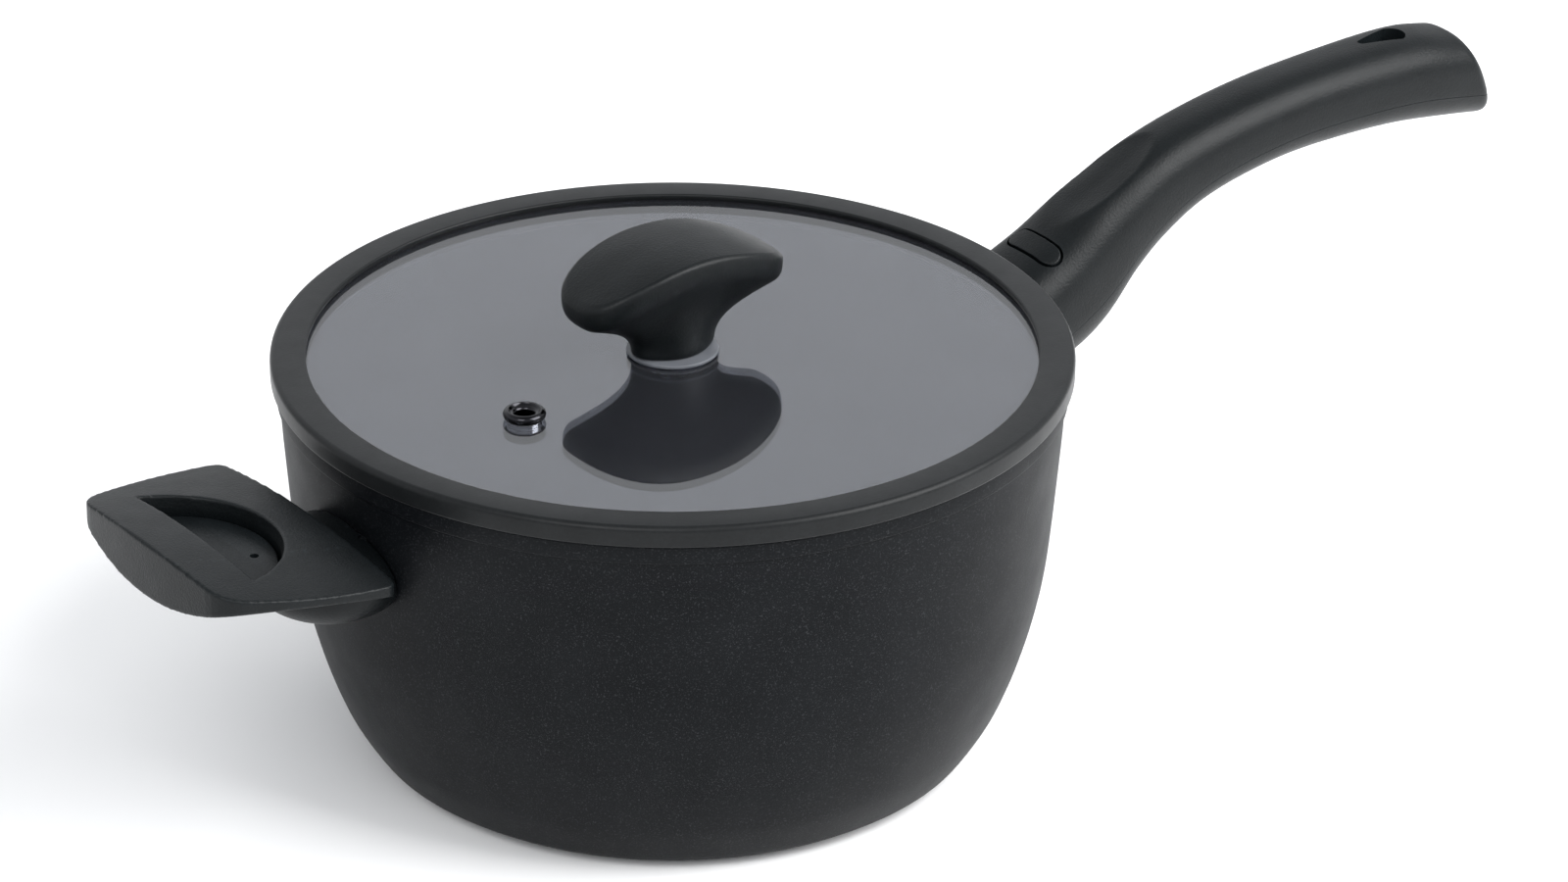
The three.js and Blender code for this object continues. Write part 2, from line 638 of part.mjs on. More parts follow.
// The button's bridge spans the liner, and a leg on each side reaches down to the leaf's ears.
function releaseButton() {
  const start = BUTTON_S - LEG_HALF_LENGTH;
  const end = BUTTON_S + LEG_HALF_LENGTH;
  const bridgeLow = linerHalfHeight + GAP + BUTTON_TRAVEL + 0.3;
  const bridgeTop = bridgeLow + 2;
  const bridge = solid(onTang(box([start, -legOuter, bridgeLow], [end, legOuter, bridgeTop])));
  const cap = upright(stadium(BUTTON_LENGTH, BUTTON_WIDTH), bridgeLow + 1, BUTTON_TOP_N);
  let body = bridge.add(solid(onTang(cap.rotateZ(Math.PI / 2).translate(BUTTON_S, 0, 0))));
  for (const [inner, outer] of [[-legOuter, -legInner], [legInner, legOuter]]) {
    body = body.add(solid(onTang(box([start, inner, leafTop + GAP], [end, outer, bridgeTop]))));
  }
  return geometryOf(body);
}

// ---- Helper handle ------------------------------------------------------------------

// Wider by the pan than at its outer edge, with all four edges bowed a little.
function helperOutline() {
  const shape = new THREE.Shape();
  const middle = (HELPER_INNER + HELPER_OUTER) / 2;
  const bowed = (HELPER_INNER_HALF + HELPER_OUTER_HALF) / 2 + 2 * HELPER_BOW;
  shape.moveTo(HELPER_OUTER, -HELPER_OUTER_HALF);
  shape.quadraticCurveTo(middle, -bowed, HELPER_INNER, -HELPER_INNER_HALF);
  shape.quadraticCurveTo(HELPER_INNER + HELPER_BOW, 0, HELPER_INNER, HELPER_INNER_HALF);
  shape.quadraticCurveTo(middle, bowed, HELPER_OUTER, HELPER_OUTER_HALF);
  shape.quadraticCurveTo(HELPER_OUTER - HELPER_BOW, 0, HELPER_OUTER, -HELPER_OUTER_HALF);
  return shape;
}

// Mixes a value from the helper handle's edge by the pan to its outer edge.
function helperAt(x, inner, outer) {
  return THREE.MathUtils.mapLinear(x, HELPER_INNER, HELPER_OUTER, inner, outer);
}

// A wing-like slab: crowned on top, bellied below, thin at its two side edges.
function helperSlab() {
  const inner = HELPER_INNER + 8;
  const outer = HELPER_OUTER - 6;
  const slope = Math.tan(HELPER_TILT);
  const middle = (inner + outer) / 2;
  const geometry = new THREE.BoxGeometry(inner - outer, 2, 2, 1, 12, 1).translate(middle, 0, 0);
  reshaped(geometry, (point) => {
    const edgeTop = HELPER_EDGE_TOP + (HELPER_INNER - point.x) * slope;
    const swell = 1 - point.y ** 2;
    const low = edgeTop - helperAt(point.x, HELPER_INNER_EDGE, HELPER_OUTER_EDGE) - HELPER_BELLY * swell;
    point.z = point.z > 0 ? edgeTop + HELPER_CROWN * swell : low;
    point.y *= helperAt(point.x, HELPER_INNER_HALF, HELPER_OUTER_HALF) + HELPER_BOW + 1;
  });
  return solid(geometry);
}

// The neck swells under the slab and reaches back to the pan's wall.
function helperNeck() {
  const geometry = new THREE.SphereGeometry(1, 24, 14).rotateX(Math.PI / 2);
  return solid(geometry.scale(...NECK_RADII).translate(...NECK_CENTRE));
}

// A segment of a circle whose flat side is towards the outer edge.
function pocketShape(inset) {
  const radius = (POCKET_HALF_LENGTH ** 2 + POCKET_DEPTH ** 2) / (2 * POCKET_DEPTH);
  const centre = POCKET_FLAT_X + POCKET_DEPTH - radius;
  const reach = Math.acos((POCKET_FLAT_X + inset - centre) / (radius - inset));
  const shape = new THREE.Shape();
  shape.absarc(centre, 0, radius - inset, -reach, reach, false);
  return shape;
}

function helperSpace() {
  const clear = 0.4;
  const lug = solid(box(
    [HELPER_LUG_END - clear, -HELPER_LUG_HALF - clear, HELPER_LUG_LOW - clear],
    [-100, HELPER_LUG_HALF + clear, HELPER_LUG_HIGH + clear],
  ));
  const shank = solid(disc(2.3, 60, HELPER_LUG_LOW + 1, 16).translate(HELPER_SCREW_X, 0, 0));
  const head = solid(disc(4.6, 60, HELPER_SCREW_SEAT, 20).translate(HELPER_SCREW_X, 0, 0));
  return lug.add(shank).add(head);
}

function helperGrip() {
  const slab = helperSlab().intersect(solid(upright(helperOutline(), 60, 160)));
  const pocket = solid(upright(pocketShape(0), POCKET_FLOOR_LOW - GAP, 160, 20));
  const hollows = pocket.add(drainHole()).add(helperSpace()).add(wallClearance(0.8));
  return geometryOf(slab.add(helperNeck()).subtract(hollows));
}

function drainHole() {
  return solid(disc(DRAIN_HOLE_RADIUS, 60, POCKET_FLOOR_TOP + 1, 16).translate(...DRAIN_HOLE, 0));
}

// A plate lies on the bottom of the finger pocket.
function helperFloor() {
  const plate = upright(pocketShape(POCKET_FLOOR_GAP), POCKET_FLOOR_LOW, POCKET_FLOOR_TOP, 20);
  return geometryOf(solid(plate).subtract(drainHole()));
}

function helperScrew() {
  const headHeight = 3.4;
  const headFace = HELPER_SCREW_SEAT - GAP - headHeight;
  return screw(4.2, 1.9, headHeight, 17).translate(HELPER_SCREW_X, 0, headFace);
}

// ---- Assembly -----------------------------------------------------------------------

const saucepan = new THREE.Group();

function add(name, geometry, material) {
  const mesh = new THREE.Mesh(geometry, material);
  mesh.name = name;
  saucepan.add(mesh);
}

add('pan_body', panBody(), coating);
add('base_disc', baseDisc(), steel);
add('handle_bracket', handleBracket(), steel);
for (const [name, height] of Object.entries(BRACKET_SCREW_HEIGHTS)) {
  add(name, bracketScrew(height), steel);
}

add('lid_glass', lidGlass(), glass);
add('lid_ring', lidRing(), silicone);
add('vent_eyelet', ventEyelet(), darkMetal);
add('vent_sleeve', ventSleeve(), seal);
add('knob_grip', knobGrip(), gripPlastic);
add('knob_insert', knobInsert(), brass);
add('knob_sleeve', knobSleeve(), seal);
add('knob_foot_gasket', knobFootGasket(), clearSeal);
add('knob_gasket', knobLowerGasket(), seal);
add('knob_washer', knobWasher(), steel);
add('knob_screw', knobScrew(), steel);

const shells = handleShells();
add('handle_upper_shell', shells.upper, gripPlastic);
add('handle_lower_shell', shells.lower, gripPlastic);
for (const [name, x] of Object.entries(HANDLE_SCREWS)) {
  add(name, handleScrew(x), steel);
}
add('socket_liner', socketLiner(), steel);
add('latch_leaf', latchLeaf(), steel);
add('latch_screw', latchScrew(), steel);
add('release_button', releaseButton(), gripPlastic);

add('helper_grip', helperGrip(), gripPlastic);
add('helper_floor', helperFloor(), gripPlastic);
add('helper_screw', helperScrew(), steel);

export default saucepan;
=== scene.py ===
"""The finished look of a 24 cm saucepan with a glass lid, in metres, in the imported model's frame."""
import json
import math

import bmesh
import bpy
from mathutils import Matrix, Vector


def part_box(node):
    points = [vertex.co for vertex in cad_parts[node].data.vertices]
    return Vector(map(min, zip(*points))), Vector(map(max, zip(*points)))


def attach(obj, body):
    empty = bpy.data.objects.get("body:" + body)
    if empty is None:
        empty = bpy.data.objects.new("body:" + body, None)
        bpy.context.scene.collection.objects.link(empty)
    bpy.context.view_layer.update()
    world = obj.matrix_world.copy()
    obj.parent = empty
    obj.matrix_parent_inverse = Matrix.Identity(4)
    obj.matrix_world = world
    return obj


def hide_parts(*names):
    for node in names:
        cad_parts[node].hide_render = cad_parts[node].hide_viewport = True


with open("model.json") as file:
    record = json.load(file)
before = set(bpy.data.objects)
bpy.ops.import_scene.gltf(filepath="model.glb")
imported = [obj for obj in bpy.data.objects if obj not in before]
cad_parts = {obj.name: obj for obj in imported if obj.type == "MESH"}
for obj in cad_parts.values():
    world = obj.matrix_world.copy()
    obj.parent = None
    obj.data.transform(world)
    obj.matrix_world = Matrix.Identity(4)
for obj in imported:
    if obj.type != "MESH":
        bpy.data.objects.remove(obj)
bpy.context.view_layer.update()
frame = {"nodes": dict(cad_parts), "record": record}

MM = 0.001
FINE = 160
AXIS = 0.01
GAP = 0.3

# ---- Places read from the frame -------------------------------------------------------

PAN_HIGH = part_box("pan_body")[1]
RING_LOW, RING_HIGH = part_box("lid_ring")
GLASS_LOW, GLASS_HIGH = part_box("lid_glass")
KNOB_LOW, KNOB_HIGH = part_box("knob_grip")
VENT_LOW, VENT_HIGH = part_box("vent_eyelet")
DISC_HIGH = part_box("base_disc")[1]
FLOOR_LOW, FLOOR_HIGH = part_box("helper_floor")
GASKET_LOW, GASKET_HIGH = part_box("knob_foot_gasket")

# ---- Mesh helpers ---------------------------------------------------------------------


def smoothstep(low, high, value):
    share = min(1.0, max(0.0, (value - low) / (high - low)))
    return share * share * (3 - 2 * share)


def mix(a, b, share):
    return a + (b - a) * share


def spline(points, steps=12):
    """A Catmull-Rom curve through the points."""
    ends = [points[0], *points, points[-1]]
    curve = []
    for a, b, c, d in zip(ends, ends[1:], ends[2:], ends[3:]):
        for step in range(steps):
            t = step / steps
            curve.append(tuple(
                0.5 * (2 * q + (r - p) * t + (2 * p - 5 * q + 4 * r - s) * t**2
                       + (3 * q - p - 3 * r + s) * t**3)
                for p, q, r, s in zip(a, b, c, d)
            ))
    return [*curve, tuple(points[-1])]


def reader(points):
    """A function that reads a smooth curve's second coordinate at its first."""
    curve = spline(points)

    def value(along):
        for (x0, y0), (x1, y1) in zip(curve, curve[1:]):
            if along <= x1:
                return mix(y0, y1, min(1.0, max(0.0, (along - x0) / max(x1 - x0, 1e-9))))
        return curve[-1][1]

    return value


def arc(centre, radius, start, end, steps=6):
    """Points round part of a circle, from start to end in degrees."""
    angles = [math.radians(mix(start, end, step / steps)) for step in range(steps + 1)]
    return [(centre[0] + radius * math.cos(a), centre[1] + radius * math.sin(a)) for a in angles]


def piece_from(name, vertices, faces, sharp=40):
    mesh = bpy.data.meshes.new(name)
    mesh.from_pydata(vertices, [], faces)
    obj = bpy.data.objects.new(name, mesh)
    bpy.context.scene.collection.objects.link(obj)
    tidy(obj, sharp)
    return obj


def tidy(obj, sharp=40):
    """Merges doubled points, turns the faces outwards and shades the piece smooth between its sharp edges."""
    work = bmesh.new()
    work.from_mesh(obj.data)
    bmesh.ops.remove_doubles(work, verts=work.verts, dist=1e-7)
    bmesh.ops.recalc_face_normals(work, faces=work.faces)
    work.to_mesh(obj.data)
    work.free()
    obj.data.polygons.foreach_set("use_smooth", [True] * len(obj.data.polygons))
    obj.data.set_sharp_from_angle(angle=math.radians(sharp))


def turned(name, outline, centre=(0, 0), steps=FINE, sharp=40):
    """A closed solid of revolution. The outline's [radius, height] points are in millimetres."""
    count = len(outline)
    vertices = []
    for step in range(steps):
        angle = 2 * math.pi * step / steps
        for radius, height in outline:
            vertices.append((
                (centre[0] + radius * math.cos(angle)) * MM,
                (centre[1] + radius * math.sin(angle)) * MM,
                height * MM,
            ))
    faces = []
    for step in range(steps):
        after = (step + 1) % steps
        for i in range(count):
            j = (i + 1) % count
            faces.append((step * count + i, after * count + i, after * count + j, step * count + j))
    return piece_from(name, vertices, faces, sharp)


def lofted(name, rings, sharp=40):
    """A skin over rings of equal length, closed at both ends. The points are in millimetres."""
    count = len(rings[0])
    vertices = [tuple(value * MM for value in point) for ring in rings for point in ring]
    faces = [
        (row * count + i, row * count + (i + 1) % count,
         (row + 1) * count + (i + 1) % count, (row + 1) * count + i)
        for row in range(len(rings) - 1)
        for i in range(count)
    ]
    faces += [tuple(range(count)), tuple(reversed(range(len(vertices) - count, len(vertices))))]
    return piece_from(name, vertices, faces, sharp)


def prism(name, outline, low, high):
    """An upright block of the outline's [x, y] points, in millimetres."""
    return lofted(name, [[(x, y, low) for x, y in outline], [(x, y, high) for x, y in outline]])


def block(name, low, high):
    outline = [(low[0], low[1]), (high[0], low[1]), (high[0], high[1]), (low[0], high[1])]
    return prism(name, outline, low[2], high[2])


def with_modifier(obj, kind, **settings):
    """Runs one modifier and keeps its result as the piece's mesh."""
    modifier = obj.modifiers.new(kind, kind)
    for key, value in settings.items():
        setattr(modifier, key, value)
    bpy.context.view_layer.update()
    evaluated = obj.evaluated_get(bpy.context.evaluated_depsgraph_get())
    mesh = bpy.data.meshes.new_from_object(evaluated)
    obj.modifiers.clear()
    old = obj.data
    obj.data = mesh
    bpy.data.meshes.remove(old)
    return obj


def combine(obj, other, operation):
    """Cuts or joins the other piece, which is used up."""
    with_modifier(obj, "BOOLEAN", object=other, operation=operation, solver="EXACT")
    bpy.data.objects.remove(other)
    return obj


def softened(obj, voxel, rounds, sharp=75):
    """Gives cut edges a small even rounding."""
    with_modifier(obj, "REMESH", mode="VOXEL", voxel_size=voxel * MM)
    with_modifier(obj, "SMOOTH", factor=0.5, iterations=rounds)
    tidy(obj, sharp)
    return obj


def bevelled(obj, width, sharp=40):
    with_modifier(obj, "BEVEL", width=width * MM, segments=3, limit_method="ANGLE",
                  angle_limit=math.radians(35))
    tidy(obj, sharp)
    return obj


def oval(angle, length, width, power):
    cos, sin = math.cos(angle), math.sin(angle)
    scale = (abs(cos) ** power + abs(sin) ** power) ** (-1 / power)
    return length / 2 * cos * scale, width / 2 * sin * scale


def stadium(length, width, steps=10):
    straight = (length - width) / 2
    return arc((straight, 0), width / 2, -90, 90, steps) + arc((-straight, 0), width / 2, 90, 270, steps)


# ---- Material helpers -----------------------------------------------------------------


class Surface:
    """A principled material with object-space noise for its colour, roughness and relief."""

    def __init__(self, name, **values):
        self.material = bpy.data.materials.new(name)
        self.material.use_nodes = True
        self.tree = self.material.node_tree
        self.shader = self.tree.nodes["Principled BSDF"]
        for key, value in values.items():
            socket = self.shader.inputs[key.replace("_", " ").replace("Ior", "IOR")]
            socket.default_value = value
        self.place = self.tree.nodes.new("ShaderNodeTexCoord").outputs["Object"]
        self.relief = None

    def node(self, kind, **settings):
        node = self.tree.nodes.new(kind)
        for key, value in settings.items():
            setattr(node, key, value)
        return node

    def link(self, source, target):
        self.tree.links.new(source, target)

    def noise(self, scale, detail=3.0, roughness=0.55, stretch=(1, 1, 1)):
        mapping = self.node("ShaderNodeMapping")
        mapping.inputs["Scale"].default_value = stretch
        self.link(self.place, mapping.inputs["Vector"])
        noise = self.node("ShaderNodeTexNoise")
        noise.inputs["Scale"].default_value = scale
        noise.inputs["Detail"].default_value = detail
        noise.inputs["Roughness"].default_value = roughness
        self.link(mapping.outputs["Vector"], noise.inputs["Vector"])
        return noise.outputs["Fac"]

    def ramp(self, source, stops):
        ramp = self.node("ShaderNodeValToRGB")
        elements = ramp.color_ramp.elements
        while len(elements) < len(stops):
            elements.new(0.5)
        for element, (position, colour) in zip(elements, stops):
            element.position = position
            element.color = (*colour, 1) if len(colour) == 3 else (colour[0],) * 3 + (1,)
        self.link(source, ramp.inputs["Fac"])
        return ramp.outputs["Color"]

    def blend(self, kind, share, a, b):
        node = self.node("ShaderNodeMix", data_type="RGBA", blend_type=kind)
        if isinstance(share, float):
            node.inputs["Factor"].default_value = share
        else:
            self.link(share, node.inputs["Factor"])
        self.link(a, node.inputs["A"])
        self.link(b, node.inputs["B"])
        return node.outputs["Result"]

    def colour(self, source):
        self.link(source, self.shader.inputs["Base Color"])

    def roughness(self, source, low, high):
        spread = self.node("ShaderNodeMapRange")
        spread.inputs["To Min"].default_value = low
        spread.inputs["To Max"].default_value = high
        self.link(source, spread.inputs["Value"])
        self.link(spread.outputs["Result"], self.shader.inputs["Roughness"])

    def bump(self, source, depth):
        """Depth is in millimetres."""
        bump = self.node("ShaderNodeBump")
        bump.inputs["Distance"].default_value = depth * MM
        bump.inputs["Strength"].default_value = 1.0
        self.link(source, bump.inputs["Height"])
        if self.relief:
            self.link(self.relief, bump.inputs["Normal"])
        self.relief = bump.outputs["Normal"]
        self.link(self.relief, self.shader.inputs["Normal"])

    def edge_mask(self):
        """White on convex edges, where a surface wears first and where its edges catch light; it carries edge
        wear and painted edge highlights.
        """
        geometry = self.node("ShaderNodeNewGeometry")
        spread = self.node("ShaderNodeMapRange")
        spread.inputs["From Min"].default_value = 0.5
        spread.inputs["From Max"].default_value = 0.6
        self.link(geometry.outputs["Pointiness"], spread.inputs["Value"])
        return spread.outputs["Result"]


def coating():
    """Matt charcoal non-stick coating with a fine mineral speckle."""
    s = Surface("coating", Specular_Ior_Level=0.09)
    ground = s.ramp(s.noise(45, 4), [(0.3, (0.0022, 0.0028, 0.0036)), (0.75, (0.0042, 0.0050, 0.0061))])
    speck = s.ramp(s.noise(1900, 2, 0.4), [(0.58, (0.0,)), (0.70, (1.0,))])
    pale = s.ramp(s.noise(300, 2), [(0.3, (0.013, 0.014, 0.0155)), (0.8, (0.025, 0.0265, 0.029))])
    # Paler on convex edges: partly real wear, partly a painted highlight where the edges catch light.
    wear_and_edge_highlight = s.blend("MIX", s.ramp(s.edge_mask(), [(0.2, (0.0,)), (0.9, (0.35,))]), ground, pale)
    s.colour(s.blend("MIX", speck, wear_and_edge_highlight, pale))
    s.roughness(s.noise(60, 5), 0.38, 0.54)
    s.bump(s.noise(900, 4, 0.6), 0.035)
    s.bump(s.noise(60, 3), 0.05)
    return s.material


def grip_plastic():
    """Soft-touch black plastic with a fine moulded grain, and a painted highlight that lightens its convex
    edges.
    """
    s = Surface("grip_plastic", Specular_Ior_Level=0.18)
    ground = s.ramp(s.noise(90, 4), [(0.3, (0.0030, 0.0042, 0.0048)), (0.75, (0.0050, 0.0066, 0.0074))])
    grain = s.ramp(s.noise(2200, 2, 0.5), [(0.35, (0.75,)), (0.75, (1.45,))])
    # Painted highlight: the colour is lifted up to 1.6 times on convex edges, where they catch light.
    edges = s.ramp(s.edge_mask(), [(0.1, (0.85,)), (0.9, (1.6,))])
    s.colour(s.blend("MULTIPLY", 1.0, s.blend("MULTIPLY", 1.0, ground, grain), edges))
    s.roughness(s.noise(120, 5), 0.32, 0.44)
    s.bump(s.noise(1300, 3, 0.6), 0.12)
    s.bump(s.noise(400, 2), 0.03)
    return s.material


def silicone():
    """Matt charcoal silicone, with the faint bloom that it picks up in use."""
    s = Surface("silicone", Specular_Ior_Level=0.17, Sheen_Weight=0.12, Sheen_Roughness=0.3)
    ground = s.ramp(s.noise(70, 5), [(0.3, (0.0055, 0.0063, 0.0068)), (0.8, (0.0085, 0.0095, 0.0102))])
    dust = s.ramp(s.noise(900, 3), [(0.4, (0.9,)), (0.8, (1.25,))])
    s.colour(s.blend("MULTIPLY", 1.0, ground, dust))
    s.roughness(s.noise(160, 4), 0.34, 0.46)
    s.bump(s.noise(1200, 3), 0.025)
    s.bump(s.noise(60, 2), 0.06)
    return s.material


def clear_glass():
    """Tempered glass with a breath of film on it."""
    s = Surface("lid_glass", Roughness=0.0, Transmission_Weight=0.985, Ior=1.54)
    s.colour(s.ramp(s.noise(35, 4), [(0.3, (0.62, 0.65, 0.74)), (0.75, (0.67, 0.70, 0.79))]))
    return s.material


def steel():
    """Plain stainless steel with fine handling marks."""
    s = Surface("steel", Metallic=1.0)
    s.colour(s.ramp(s.noise(120, 4), [(0.3, (0.42, 0.42, 0.43)), (0.8, (0.58, 0.58, 0.59))]))
    s.roughness(s.noise(300, 4, stretch=(1, 1, 6)), 0.22, 0.42)
    s.bump(s.noise(900, 2, stretch=(1, 1, 8)), 0.01)
    return s.material


def base_steel():
    """The induction disc: turned in fine circles and dulled by the hob."""
    s = Surface("base_steel", Metallic=1.0)
    rings = s.node("ShaderNodeTexWave", wave_type="RINGS", rings_direction="Z")
    rings.inputs["Scale"].default_value = 260
    rings.inputs["Distortion"].default_value = 0.4
    s.link(s.place, rings.inputs["Vector"])
    marks = s.ramp(s.noise(40, 6), [(0.3, (0.36, 0.35, 0.34)), (0.75, (0.52, 0.51, 0.50))])
    lines = s.ramp(rings.outputs["Fac"], [(0.2, (0.82,)), (0.8, (1.05,))])
    s.colour(s.blend("MULTIPLY", 1.0, marks, lines))
    s.roughness(s.noise(70, 5), 0.28, 0.46)
    s.bump(rings.outputs["Fac"], 0.04)
    return s.material


def black_nickel():
    s = Surface("dark_metal", Metallic=1.0)
    s.colour(s.ramp(s.noise(200, 3), [(0.3, (0.022, 0.022, 0.025)), (0.8, (0.040, 0.040, 0.043))]))
    s.roughness(s.noise(400, 3), 0.10, 0.2)
    s.bump(s.noise(600, 2), 0.004)
    return s.material


def turned_brass():
    s = Surface("brass", Metallic=1.0)
    s.colour(s.ramp(s.noise(200, 3), [(0.3, (0.50, 0.34, 0.13)), (0.8, (0.66, 0.48, 0.22))]))
    s.roughness(s.noise(500, 3, stretch=(1, 1, 10)), 0.22, 0.38)
    s.bump(s.noise(900, 2, stretch=(1, 1, 12)), 0.01)
    return s.material


def clear_seal():
    """Milky clear silicone."""
    s = Surface("clear_seal", Specular_Ior_Level=0.4, Transmission_Weight=0.3, Ior=1.41)
    s.colour(s.ramp(s.noise(150, 3), [(0.3, (0.13, 0.138, 0.155)), (0.8, (0.17, 0.18, 0.20))]))
    s.roughness(s.noise(300, 3), 0.35, 0.5)
    s.bump(s.noise(500, 2), 0.01)
    return s.material


def grey_seal():
    s = Surface("seal", Specular_Ior_Level=0.3)
    s.colour(s.ramp(s.noise(150, 3), [(0.3, (0.07, 0.07, 0.072)), (0.8, (0.11, 0.11, 0.112))]))
    s.roughness(s.noise(300, 3), 0.6, 0.75)
    s.bump(s.noise(900, 2), 0.02)
    return s.material


MATERIALS = {
    "coating": coating(), "grip_plastic": grip_plastic(), "silicone": silicone(), "lid_glass": clear_glass(),
    "steel": steel(), "base_steel": base_steel(), "dark_metal": black_nickel(), "brass": turned_brass(),
    "seal": grey_seal(), "clear_seal": clear_seal(),
}


def finish(obj, slot, body, *nodes):
    """Gives a piece its material, its body and the nodes that it stands for."""
    obj.data.materials.clear()
    obj.data.materials.append(MATERIALS[slot])
    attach(obj, body)
    if nodes:
        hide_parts(*nodes)


# ---- Pan ------------------------------------------------------------------------------

PAN_TOP = PAN_HIGH.z / MM
RIM = PAN_HIGH.y / MM
WALL = 3.2
LUG_LOW = 95.2
# Radius and height along the outside of the wall, up to the rim band.
WALL_LINE = spline([
    (91.5, 0), (95.4, 2), (98.6, 5), (104.2, 14), (107.9, 22), (112.1, 34), (116.3, 50), (119.2, 68),
    (122.3, 104), (123.2, 119.6),
])


def pan():
    recess = DISC_HIGH.x / MM + GAP
    recess_top = DISC_HIGH.z / MM + GAP
    band = PAN_TOP - 6
    outside = [(r - 0.7 * (z < 4.4), z) for r, z in WALL_LINE if z > 0.15]
    inside = [(r - WALL, z) for r, z in reversed(WALL_LINE) if z > 16]
    floor = spline([(101.4, 16), (97, 10.4), (90, 7), (82, 6)], 6)
    outline = [
        (AXIS, recess_top), (recess, recess_top), (recess + 0.2, 0.3), (recess + 0.5, 0), (91, 0), *outside,
        *arc((RIM - 0.6, band + 0.5), 0.6, -60, 0, 3), *arc((RIM - 0.8, PAN_TOP - 0.8), 0.8, 0, 90),
        *arc((RIM - 3.4, PAN_TOP - 0.6), 0.6, 90, 180, 4), *inside, *floor, (AXIS, 6),
    ]
    body = turned("pan_wall", outline, sharp=35)
    finish(body, "coating", "pan", "pan_body")


def lugs():
    """The cast lugs that carry the two handles."""
    long_lug = block("long_handle_lug", (120.5, -9, LUG_LOW), (132, 9, LUG_LOW + 20))
    finish(bevelled(long_lug, 1.2), "coating", "pan")
    helper_lug = block("helper_lug", (-140, -11, LUG_LOW + 2), (-120.5, 11, LUG_LOW + 11))
    finish(bevelled(helper_lug, 1.2), "coating", "pan")


def induction_disc():
    radius = DISC_HIGH.x / MM
    top = DISC_HIGH.z / MM
    outline = [(AXIS, 0), *arc((radius - 0.5, 0.5), 0.5, -90, 0, 4), (radius, top), (AXIS, top)]
    finish(turned("induction_disc", outline), "base_steel", "pan", "base_disc")


# ---- Lid ------------------------------------------------------------------------------

RING_OUTER = RING_HIGH.x / MM
RING_TOP = RING_HIGH.z / MM
RING_BOTTOM = PAN_TOP + GAP
RING_INNER = 114.5
GLASS_OUTER = GLASS_HIGH.x / MM
GLASS_TOP = GLASS_HIGH.z / MM
GLASS_BOTTOM = GLASS_LOW.z / MM
VENT = ((VENT_LOW + VENT_HIGH) / 2 / MM).to_2d()


def lid_glass():
    stud_hole = 4.5
    half = (GLASS_TOP - GLASS_BOTTOM) / 2
    edge = arc((GLASS_OUTER - half, GLASS_BOTTOM + half), half, -90, 90, 10)
    outline = [(stud_hole, GLASS_BOTTOM), *edge, (stud_hole, GLASS_TOP)]
    glass = turned("lid_pane", outline, steps=192)
    bore = turned("vent_bore", [(AXIS, 100), (5.4, 100), (5.4, 150), (AXIS, 150)], tuple(VENT), 48)
    combine(glass, bore, "DIFFERENCE")
    tidy(glass, 4)
    finish(glass, "lid_glass", "lid", "lid_glass")


def lid_rim():
    """Silicone with a rounded bead above, a groove that grips the glass, and a skirt inside the pan."""
    groove = GLASS_OUTER + GAP
    skirt = RIM - 4.8
    skirt_low = RING_LOW.z / MM
    outline = [
        (RING_INNER + 0.4, GLASS_TOP + 0.25), (groove, GLASS_TOP + 0.3), (groove, GLASS_BOTTOM - 0.3),
        (116, GLASS_BOTTOM - 0.3), *arc((skirt - 1.4, skirt_low + 1), 1.0, 180, 270, 4),
        *arc((skirt - 1.2, skirt_low + 1), 1.0, 270, 350, 4), (skirt, RING_BOTTOM - 0.3),
        *arc((skirt + 0.5, RING_BOTTOM - 0.3), 0.3, 160, 90, 3),
        *arc((RING_OUTER - 0.8, RING_BOTTOM + 0.8), 0.8, -90, 0, 5),
        *arc((RING_OUTER - 1.9, RING_TOP - 1.9), 1.9, 0, 86, 8),
        *arc((RING_INNER + 0.9, RING_TOP - 0.75), 0.75, 88, 200, 7),
    ]
    rim = turned("lid_rim", outline, steps=192, sharp=50)
    finish(rim, "silicone", "lid", "lid_ring")


def steam_vent():
    """A rolled metal eyelet with a rounded bead on top."""
    top = GLASS_TOP
    bead = 1.5
    radius = (VENT_HIGH.x - VENT_LOW.x) / 2 / MM
    bore = 3
    outline = [
        *arc((bore + 0.7, top - 4.8), 0.6, 180, 270, 3), *arc((radius - 1.2, top - 4.9), 0.5, -90, 90, 4),
        (4.4, top - 4.4), (4.4, top + 0.3), (radius - 1.2, top + 0.35),
        *arc((radius - bead, top + 0.35 + bead), bead, -80, 100, 12), (bore + 1.4, top + 2.6),
        *arc((bore + 1.1, top + 1.4), 1.1, 90, 180, 6),
    ]
    eyelet = turned("steam_eyelet", outline, tuple(VENT), 64)
    finish(eyelet, "dark_metal", "lid", "vent_eyelet")


# ---- Knob -----------------------------------------------------------------------------

KNOB_LENGTH = (KNOB_HIGH.x - KNOB_LOW.x) / MM
KNOB_WIDTH = (KNOB_HIGH.y - KNOB_LOW.y) / MM
KNOB_FOOT = KNOB_LOW.z / MM
KNOB_CROWN = 1.4
KNOB_CREST = KNOB_HIGH.z / MM - KNOB_CROWN
KNOB_DROP = 10.7
KNOB_EDGE = 8


def bezier(a, b, c, d, steps):
    points = []
    for step in range(steps + 1):
        t = step / steps
        u = 1 - t
        points.append(tuple(
            u**3 * p + 3 * u * u * t * q + 3 * u * t * t * r + t**3 * s for p, q, r, s in zip(a, b, c, d)
        ))
    return points


